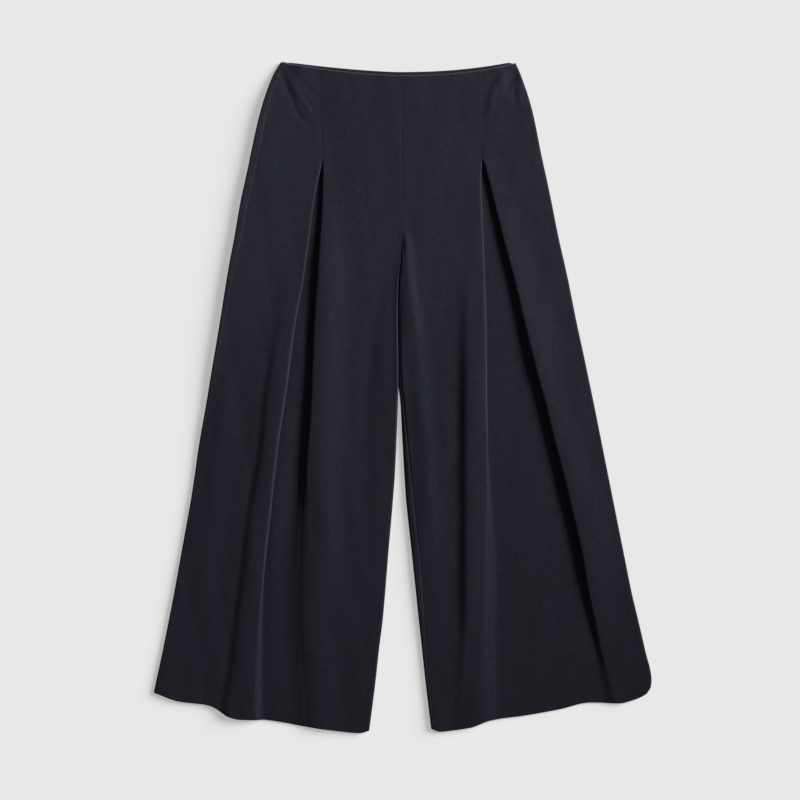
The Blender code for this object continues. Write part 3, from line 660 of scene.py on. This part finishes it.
def cloth_mesh(name, grid, painted_highlight, material, wall):
    """A grid of points in millimetres, columns by rows, as a sheet with the cloth's wall.

    The cloth map's u is the length run across the columns and v the drop, both in metres, so the
    knit's ribs follow the cloth round its folds. The point attribute, 0 to 1, is how much painted highlight
    pales the colour there.
    """
    columns, rows = grid.shape[:2]
    index = np.arange(columns * rows).reshape(columns, rows)
    faces = np.stack([index[:-1, :-1], index[1:, :-1], index[1:, 1:], index[:-1, 1:]], axis=-1)
    faces = faces.reshape(-1, 4)
    mesh = bpy.data.meshes.new(name)
    mesh.from_pydata((grid.reshape(-1, 3) * MM).tolist(), [], faces.tolist())
    across, down = run_along(grid, 0), run_along(grid, 1)
    across = across - across[columns // 2]
    places = np.stack([across, down], axis=-1).reshape(-1, 2) * MM
    cloth_map = mesh.uv_layers.new(name="cloth")
    cloth_map.data.foreach_set("uv", places[faces.reshape(-1)].ravel())
    mesh.attributes.new("painted_highlight", "FLOAT", "POINT").data.foreach_set("value", painted_highlight.ravel())
    mesh.materials.append(material)
    mesh.shade_smooth()
    piece = bpy.data.objects.new(name, mesh)
    garment.objects.link(piece)
    solidify = piece.modifiers.new("wall", "SOLIDIFY")
    solidify.thickness = wall * MM
    solidify.offset = 0.0
    solidify.use_even_offset = True
    return piece


def new_material(name, map_name):
    """A material with its nodes, links and shader, and the map that its patterns follow."""
    material = bpy.data.materials.new(name)
    material.use_nodes = True
    nodes, links = material.node_tree.nodes, material.node_tree.links
    place = nodes.new("ShaderNodeUVMap")
    place.uv_map = map_name
    return material, nodes, links, nodes["Principled BSDF"], place.outputs["UV"]


def two_tones(nodes, links, value, low, high, spread=(0.0, 1.0)):
    """A colour that runs from low to high while the value crosses the spread."""
    ramp = nodes.new("ShaderNodeValToRGB")
    for stop, place, colour in zip(ramp.color_ramp.elements, spread, (low, high)):
        stop.position, stop.color = place, (*colour, 1.0)
    links.new(value, ramp.inputs["Fac"])
    return ramp.outputs["Color"]


def knit_cloth(name, upper, lower, pale):
    """Smooth double knit with a lightly brushed face: two navy tones in soft, uneven patches and a
    fine fleck, painted paler as a highlight along its folds and edges, with a slow drift between a
    violet and a steel cast, narrow ribs a millimetre apart in relief, and the short nap's sheen."""
    material, nodes, links, shader, place = new_material(name, "cloth")
    shader.inputs["Roughness"].default_value = 0.88
    shader.inputs["Specular IOR Level"].default_value = 0.22
    shader.inputs["Sheen Weight"].default_value = 0.06
    shader.inputs["Sheen Roughness"].default_value = 0.45
    shader.inputs["Sheen Tint"].default_value = (0.62, 0.72, 1.0, 1.0)

    def patches(scale, detail, stretch):
        """A cloud of the given scale per metre, drawn out along the leg by stretch."""
        mapping = nodes.new("ShaderNodeMapping")
        mapping.inputs["Scale"].default_value = (1.0, 1.0 / stretch, 1.0)
        links.new(place, mapping.inputs["Vector"])
        noise = nodes.new("ShaderNodeTexNoise")
        noise.inputs["Scale"].default_value = scale
        noise.inputs["Detail"].default_value = detail
        links.new(mapping.outputs["Vector"], noise.inputs["Vector"])
        return noise.outputs["Fac"]

    def weighted(first, second, weight):
        """first + weight * (second - 0.5)."""
        scaled = nodes.new("ShaderNodeMath")
        scaled.operation = "MULTIPLY_ADD"
        links.new(second, scaled.inputs[0])
        scaled.inputs[1].default_value = weight
        scaled.inputs[2].default_value = -weight / 2
        node = nodes.new("ShaderNodeMath")
        links.new(first, node.inputs[0])
        links.new(scaled.outputs[0], node.inputs[1])
        return node.outputs[0]

    broad = patches(7.0, 3.0, 2.5)
    mottle = patches(150.0, 2.0, 1.3)
    fleck = patches(430.0, 2.0, 1.6)
    fibre = patches(1500.0, 2.0, 3.0)
    tone = weighted(weighted(weighted(broad, mottle, 1.3), fleck, 1.2), fibre, 0.5)
    navy = two_tones(nodes, links, tone, lower, upper)
    drift = two_tones(
        nodes, links, patches(26.0, 2.0, 1.2), (1.0, 0.945, 1.0), (0.94, 1.0, 0.985), (0.3, 0.7))
    cast = nodes.new("ShaderNodeMix")
    cast.data_type, cast.blend_type = "RGBA", "MULTIPLY"
    cast.inputs[0].default_value = 1.0
    links.new(navy, cast.inputs[6])
    links.new(drift, cast.inputs[7])
    # Painted highlight: the colour is mixed towards the pale one along the folds and edges, as far as the
    # point attribute says.
    highlight_mask = nodes.new("ShaderNodeAttribute")
    highlight_mask.attribute_name = "painted_highlight"
    highlighted = nodes.new("ShaderNodeMix")
    highlighted.data_type = "RGBA"
    highlighted.inputs[7].default_value = (*pale, 1.0)
    links.new(highlight_mask.outputs["Fac"], highlighted.inputs[0])
    links.new(cast.outputs[2], highlighted.inputs[6])
    links.new(highlighted.outputs[2], shader.inputs["Base Color"])
    ribs = nodes.new("ShaderNodeTexWave")
    ribs.wave_type, ribs.bands_direction = "BANDS", "X"
    ribs.inputs["Scale"].default_value = 310.0
    ribs.inputs["Distortion"].default_value = 0.8
    ribs.inputs["Detail"].default_value = 1.0
    links.new(place, ribs.inputs["Vector"])
    relief = weighted(weighted(ribs.outputs["Fac"], fleck, 0.9), fibre, 0.7)
    bump = nodes.new("ShaderNodeBump")
    bump.inputs["Strength"].default_value = 0.22
    bump.inputs["Distance"].default_value = 0.00012
    links.new(relief, bump.inputs["Height"])
    links.new(bump.outputs["Normal"], shader.inputs["Normal"])
    return material


def placed(leg, out, drop, up):
    """Leg coordinates as the frame's X, Y and Z, in millimetres."""
    return np.stack([leg.side * out - CENTRE_SHIFT, OVERALL_LENGTH / 2 - drop, up], axis=-1)


# Where each band's columns lie, as shares of its width.
SEAM_SHARES = (0, 0.012, 0.03, 0.055, 0.09, 0.14, 0.21, 0.32, 0.48, 0.72, 1)
ROLLED_SHARES = (0, 0.05, 0.12, 0.2, 0.26, 0.32, 0.38, 0.44, 0.5, 0.56, 0.62, 0.68, 0.74, 0.8,
                 0.82, 0.85, 0.9, 0.95, 1)
PANEL_SHARES = np.linspace(0, 1, 38)[1:-1]
ARC_SHARES = np.linspace(0, 1, 10)
LOWER_SHARES = np.linspace(0, 1, 5)
UNDERLAY_SHARES = np.linspace(0, 1, 20)[1:-1]


def front_bands(leg):
    """The front's bands in order from the side seam to the inner seam: the column's function, its
    shares and where it carries the painted highlight."""
    edge_shares = [SEAM_SHARES if leg.seams[name][0] else ROLLED_SHARES for name in ("side", "inner")]
    return (
        (front_side_edge, edge_shares[0], no_highlight),
        (side_panel, PANEL_SHARES, no_highlight),
        (lambda g, s, d: upper_arc(g, "side", s, d), ARC_SHARES, fold_highlight("side")),
        (lambda g, s, d: lower_arc(g, "side", s, d), LOWER_SHARES, no_highlight),
        (underlay, UNDERLAY_SHARES, no_highlight),
        (lambda g, s, d: lower_arc(g, "mid", s, d), LOWER_SHARES[::-1], no_highlight),
        (lambda g, s, d: upper_arc(g, "mid", s, d), ARC_SHARES[::-1], fold_highlight("mid")),
        (centre_panel, PANEL_SHARES, no_highlight),
        (front_inner_edge, edge_shares[1][::-1], rim_highlight),
    )


def panel_grid(leg, bands, waist_line, edge_highlight):
    """All bands side by side, in the same turn on both legs, and how much painted highlight each point has.
    """
    parts = [placed(leg, *lay_out(leg, column, shares, waist_line)) for column, shares, _ in bands]
    highlights = [np.maximum(highlighting(leg, np.array(shares, float)[:, None]), edge_highlight * waist_highlight(ROWS))
            for _, shares, highlighting in bands]
    grid, painted_highlight = np.concatenate(parts), np.concatenate(highlights)
    return (grid, painted_highlight) if leg.side < 0 else (grid[::-1], painted_highlight[::-1])


knit = knit_cloth("navy_knit_cloth", KNIT_UPPER, KNIT_LOWER, KNIT_HIGHLIGHT)
right = Leg(-1, RIGHT_SECTIONS, RIGHT_HEM, RIGHT_CREASES, side_on_top=True, inner_on_top=False,
            crisp="mid", waist_powers=(1.65, 1.5))
left = Leg(+1, LEFT_SECTIONS, LEFT_HEM, LEFT_CREASES, side_on_top=False, inner_on_top=True,
           crisp="side", waist_powers=(2.4, 2.2))

# The hem's two rows of a twin needle: short runs of navy polyester thread, 3.2 mm from one to the
# next, which sink into the knit at their ends. A stitch is a tube of rings, each with its place
# along the stitch, its girth as a share of the thread's, and its lift off the cloth's face.
THREAD_RADIUS = 0.19
STITCH_PITCH, STITCH_LENGTH = 3.2, 2.5
STITCH_RINGS = np.array([0.0, 0.14, 0.5, 0.86, 1.0])
RING_GIRTH = np.array([0.35, 1.0, 1.0, 1.0, 0.35])
RING_LIFT = np.array([-0.16, -0.02, 0.10, -0.02, -0.16])
RING_SIDES = 6
THREAD_NAVY = (0.030, 0.031, 0.046)
THREAD_SHADE = 0.75  # painted shade: how dark the thread is between its plies


def needle_line(grid, above_hem, outside):
    """The cloth's line at a height above the hem, and which way its outer face looks there."""
    place = HEM_NOMINAL - above_hem
    k = np.searchsorted(ROWS, place) - 1
    t = (place - ROWS[k]) / (ROWS[k + 1] - ROWS[k])
    line = grid[:, k] * (1 - t) + grid[:, k + 1] * t
    facing_way = np.cross(np.gradient(line, axis=0), grid[:, k + 1] - grid[:, k]) * outside
    return line, facing_way / np.linalg.norm(facing_way, axis=1, keepdims=True)


def stitch_rings(line, facing_way):
    """The stitches along a line, as stitches by rings by sides: a tube round the line, raised off
    the cloth's face in the middle of each stitch and sunk into it at the ends."""
    run = run_along(line, 0)
    starts = np.arange(STITCH_PITCH / 2, run[-1] - STITCH_PITCH, STITCH_PITCH)
    at = starts[:, None] + STITCH_LENGTH * STITCH_RINGS
    middle = np.stack([np.interp(at, run, line[:, k]) for k in range(3)], axis=-1)
    out = np.stack([np.interp(at, run, facing_way[:, k]) for k in range(3)], axis=-1)
    along = np.gradient(middle, axis=1)
    beside = np.cross(along, out)
    beside = beside / np.linalg.norm(beside, axis=-1, keepdims=True)
    angle = np.linspace(0, 2 * pi, RING_SIDES, endpoint=False)[:, None]
    girth = THREAD_RADIUS * RING_GIRTH[:, None, None]
    middle = middle + out * (WALL / 2 + RING_LIFT[:, None])
    ring = np.cos(angle) * out[:, :, None] + np.sin(angle) * beside[:, :, None]
    return middle[:, :, None] + girth * ring


def hem_stitches(name, grid, outside, material):
    """Both needle rows of one panel as a single piece of closed threads."""
    rings = np.concatenate([stitch_rings(*needle_line(grid, row, outside)) for row in NEEDLE_ROWS])
    index = np.arange(rings.size // 3).reshape(rings.shape[:3])
    turned = np.roll(index, -1, axis=2)
    walls = np.stack([index[:, :-1], turned[:, :-1], turned[:, 1:], index[:, 1:]], axis=-1)
    caps = np.concatenate([index[:, 0, ::-1], index[:, -1]])
    mesh = bpy.data.meshes.new(name)
    faces = walls.reshape(-1, 4).tolist() + caps.tolist()
    mesh.from_pydata((rings.reshape(-1, 3) * MM).tolist(), [], faces)
    corners = np.zeros(len(mesh.loops), np.int32)
    mesh.loops.foreach_get("vertex_index", corners)
    ring, side = np.divmod(corners, RING_SIDES)
    places = np.stack([ring * STITCH_LENGTH / len(STITCH_RINGS), side * THREAD_RADIUS], axis=-1) * MM
    mesh.uv_layers.new(name="thread").data.foreach_set("uv", places.ravel())
    mesh.materials.append(material)
    mesh.shade_smooth()
    piece = bpy.data.objects.new(name, mesh)
    garment.objects.link(piece)
    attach(piece, "root")
    return piece


def twisted_thread():
    """Two-ply polyester: navy, painted darker between the plies as shade, with the plies' slanting ridges
    in relief and a dull gloss.
    """
    material, nodes, links, shader, place = new_material("navy_thread", "thread")
    shader.inputs["Roughness"].default_value = 0.55
    plies = nodes.new("ShaderNodeTexWave")
    plies.wave_type, plies.bands_direction = "BANDS", "DIAGONAL"
    plies.inputs["Scale"].default_value = 900.0
    plies.inputs["Distortion"].default_value = 0.6
    links.new(place, plies.inputs["Vector"])
    shaded = [THREAD_SHADE * part for part in THREAD_NAVY]
    navy_with_ply_shade = two_tones(nodes, links, plies.outputs["Fac"], shaded, THREAD_NAVY)
    links.new(navy_with_ply_shade, shader.inputs["Base Color"])
    bump = nodes.new("ShaderNodeBump")
    bump.inputs["Strength"].default_value = 0.5
    bump.inputs["Distance"].default_value = 0.00005
    links.new(plies.outputs["Fac"], bump.inputs["Height"])
    links.new(bump.outputs["Normal"], shader.inputs["Normal"])
    return material


thread = twisted_thread()
for leg_name, leg in (("right", right), ("left", left)):
    front_grid, front_highlight = panel_grid(leg, front_bands(leg), front_waist, 1.0)
    front = cloth_mesh(f"front_{leg_name}_cloth", front_grid, front_highlight, knit, WALL)
    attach(front, "root")
    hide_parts(f"front_{leg_name}")
    stitches = hem_stitches(f"hem_stitches_front_{leg_name}", front_grid, 1, thread)


# ---- The two backs ----
# Each back is a plain panel of the same knit, from the centre-back seam to the side seam and the
# inseam. It lies under the front, flat on the floor, and shows at the waist and in a narrow strip
# past the seams that have rolled to the top. Its hidden side has a few soft pull creases.

BACK_RIGHT_CREASES = (
    (((60, 70), (200, 60), (340, 84)), 0.7, 20.0, 20.0, 90, 110),
    (((300, 190), (520, 214), (800, 262)), 0.6, 24.0, 20.0, 130, 180),
    (((560, 60), (720, 66), (930, 84)), 0.8, 16.0, 22.0, 120, 140),
)
BACK_LEFT_CREASES = (
    (((90, 40), (220, 62), (330, 90)), 0.6, 16.0, 20.0, 80, 110),
    (((240, 196), (460, 232), (640, 250)), 0.7, 20.0, 26.0, 120, 150),
    (((620, 76), (800, 84), (960, 92)), 0.8, 20.0, 18.0, 130, 120),
)
BACK_WAIST_DIP, BACK_WAIST_HALF = 13.7, 161.0
# how much of the waist's painted highlight the back's turned edge takes
BACK_EDGE_HIGHLIGHT = 0.35
BACK_CREASE_LIMIT = 0.25  # how far the hidden side, which lies flat on the floor, may rise
BACK_SHARES = np.linspace(0, 1, 44)[1:-1]


def back_waist(leg, out):
    """The drop of the back's top edge below the waist corners."""
    return BACK_WAIST_DIP * (1 - np.minimum(np.abs(out) / BACK_WAIST_HALF, 1) ** leg.waist_powers[1])


def back_side_edge(leg, share, drop):
    seam = leg.at(leg.seams["side"][1], drop) - SEAM_SHUT
    on_top = leg.seams["side"][0]
    length = -rolled_length(-seam, share) if on_top else seam + (-EDGE_REACH - seam) * share
    out, up = side_edge(leg, drop, length)
    if on_top:
        rise = leg.crease_height(out, drop) + tuck_rise(leg, "side", out, drop)
        up = up + rise * edge_weight(length) - dent(length - seam, SEAM_SINK)
    return out, up


def back_inner_edge(leg, share, drop):
    tail = np.abs(leg.at(leg.seams["inner"][1], drop)) - QUARTER
    if leg.seams["inner"][0]:
        length = rolled_length(-QUARTER - tail, share)
        out, rise = turned_edge(leg, drop, length, tail)
        sink = dent(length + QUARTER + tail, inseam_sink(drop)) * closing(drop)
        lifted = leg.crease_height(out, drop) * closing(drop) - shoulder(leg, out, drop)
        lifted = lifted * rise / (2 * EDGE_RADIUS)
        return out, BACK_LEVEL + rise + lifted - sink
    return still_edge(leg, drop, EDGE_REACH * share, tail), BACK_LEVEL + 0 * drop


def back_flat(leg, share, drop):
    """The panel between its edges: flat on the floor, its creases raised a little off it."""
    start = back_side_edge(leg, 1.0, drop)[0]
    end = back_inner_edge(leg, 1.0, drop)[0]
    out = start + (end - start) * share
    raised = raised_creases(leg.back_creases, out, drop)
    return out, BACK_LEVEL + np.minimum(raised, BACK_CREASE_LIMIT)


def back_bands(leg):
    edge_shares = [ROLLED_SHARES if leg.seams[name][0] else SEAM_SHARES for name in ("side", "inner")]
    return (
        (back_side_edge, edge_shares[0], no_highlight),
        (back_flat, BACK_SHARES, no_highlight),
        (back_inner_edge, edge_shares[1][::-1], no_highlight),
    )


right.back_creases = named_rows(CREASE_COLUMNS, BACK_RIGHT_CREASES)
left.back_creases = named_rows(CREASE_COLUMNS, BACK_LEFT_CREASES)
for leg_name, leg in (("right", right), ("left", left)):
    back_grid, back_highlight = panel_grid(leg, back_bands(leg), back_waist, BACK_EDGE_HIGHLIGHT)
    back = cloth_mesh(f"back_{leg_name}_cloth", back_grid, back_highlight, knit, WALL)
    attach(back, "root")
    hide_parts(f"back_{leg_name}")
    stitches = hem_stitches(f"hem_stitches_back_{leg_name}", back_grid, -1, thread)


# ---- The back waist's facing ----
# The waist is finished with a band of the same knit turned to the inside over a soft elastic. Its
# wrong side is darker, and shows as a thin strip above the front's top edge.

FACING_INSET, FACING_EDGE, FACING_FLARE = 13.0, 1.0, 0.03
FACING_COLUMNS, FACING_ROWS, FACING_CROWDING = 120, 16, 1.3
FACING_UPPER = (0.0276, 0.0281, 0.0388)
FACING_LOWER = (0.0196, 0.0199, 0.0276)

facing_ends = [leg.side * (float(leg.at("side", 0.0)) - FACING_INSET) for leg in (right, left)]
facing_across = np.linspace(*facing_ends, FACING_COLUMNS)[:, None]
facing_share = np.linspace(0, 1, FACING_ROWS)[None, :] ** FACING_CROWDING
facing_line = np.where(facing_across < 0, back_waist(right, facing_across), back_waist(left, facing_across))
facing_drop = FACING_EDGE + facing_share * FACING_DEPTH + facing_line
facing_flare = 1 + FACING_FLARE * facing_drop / FACING_DEPTH
facing_grid = np.stack([
    facing_across * facing_flare - CENTRE_SHIFT, OVERALL_LENGTH / 2 - facing_drop,
    UNDERLAY_LEVEL + 0 * facing_drop], axis=-1)
knit_inside = knit_cloth("navy_knit_inside", FACING_UPPER, FACING_LOWER, KNIT_HIGHLIGHT)
facing = cloth_mesh("waist_facing_cloth", facing_grid, 0 * facing_drop, knit_inside, WALL)
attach(facing, "root")
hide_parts("waist_facing_back")


# ---- Floor and light ----
# A plain pale floor, with one broad soft lamp to the upper right that reaches the waist more than
# the hem. The floor has a lamp of its own from the same side, so that it stays evenly pale.

FLOOR_SIZE = 6.0
FLOOR_LEVEL = -0.0002  # a hair below the garment's lowest point
FLOOR_PALE = 0.80
FLOOR_GLOW = 0.40
KEY_AZIMUTH, KEY_ELEVATION, KEY_DISTANCE = 24.0, 24.0, 5.0
KEY_AIM = (0.0, 0.75, 0.0)
KEY_ENERGY, KEY_CONE, KEY_SIZE = 1470.0, 44.0, 0.75
FLOOR_LAMP_DISTANCE, FLOOR_LAMP_ENERGY, FLOOR_LAMP_SPREAD = 4.0, 3.35, 34.0
ROOM_LIGHT = 0.08

floor_mesh = bpy.data.meshes.new("floor")
half = FLOOR_SIZE / 2
floor_corners = [(x * half, y * half, FLOOR_LEVEL) for x, y in ((-1, -1), (1, -1), (1, 1), (-1, 1))]
floor_mesh.from_pydata(floor_corners, [], [(0, 1, 2, 3)])
floor = bpy.data.objects.new("floor", floor_mesh)
floor_paint = bpy.data.materials.new("pale_floor")
floor_paint.use_nodes = True
floor_shader = floor_paint.node_tree.nodes["Principled BSDF"]
floor_shader.inputs["Base Color"].default_value = (FLOOR_PALE, FLOOR_PALE, FLOOR_PALE, 1.0)
floor_shader.inputs["Roughness"].default_value = 1.0
floor_shader.inputs["Specular IOR Level"].default_value = 0.0
floor_shader.inputs["Emission Color"].default_value = (1.0, 1.0, 1.0, 1.0)
floor_shader.inputs["Emission Strength"].default_value = FLOOR_GLOW
floor_mesh.materials.append(floor_paint)
studio.objects.link(floor)


def lamp_towards(kind, name, azimuth, elevation, distance, aim):
    """A lamp at a distance from its aim, azimuth counted from +X towards +Y."""
    lamp = bpy.data.objects.new(name, bpy.data.lights.new(name, kind))
    a, e = radians(azimuth), radians(elevation)
    away = Vector((cos(a) * cos(e), sin(a) * cos(e), sin(e)))
    lamp.location = Vector(aim) + away * distance
    lamp.rotation_euler = away.to_track_quat("Z", "Y").to_euler()
    studio.objects.link(lamp)
    return lamp


key = lamp_towards("SPOT", "key_lamp", KEY_AZIMUTH, KEY_ELEVATION, KEY_DISTANCE, KEY_AIM)
key.data.energy = KEY_ENERGY
key.data.spot_size = radians(KEY_CONE)
key.data.spot_blend = 1.0
key.data.shadow_soft_size = KEY_SIZE
key.light_linking.receiver_collection = garment

floor_lamp = lamp_towards(
    "SUN", "floor_lamp", KEY_AZIMUTH, KEY_ELEVATION, FLOOR_LAMP_DISTANCE, (0.0, 0.0, 0.0))
floor_lamp.data.energy = FLOOR_LAMP_ENERGY
floor_lamp.data.angle = radians(FLOOR_LAMP_SPREAD)
floor_lamp.light_linking.receiver_collection = studio

world = bpy.data.worlds.new("soft_room")
world.use_nodes = True
world.node_tree.nodes["Background"].inputs["Color"].default_value = (1.0, 1.0, 1.0, 1.0)
world.node_tree.nodes["Background"].inputs["Strength"].default_value = ROOM_LIGHT
scene.world = world
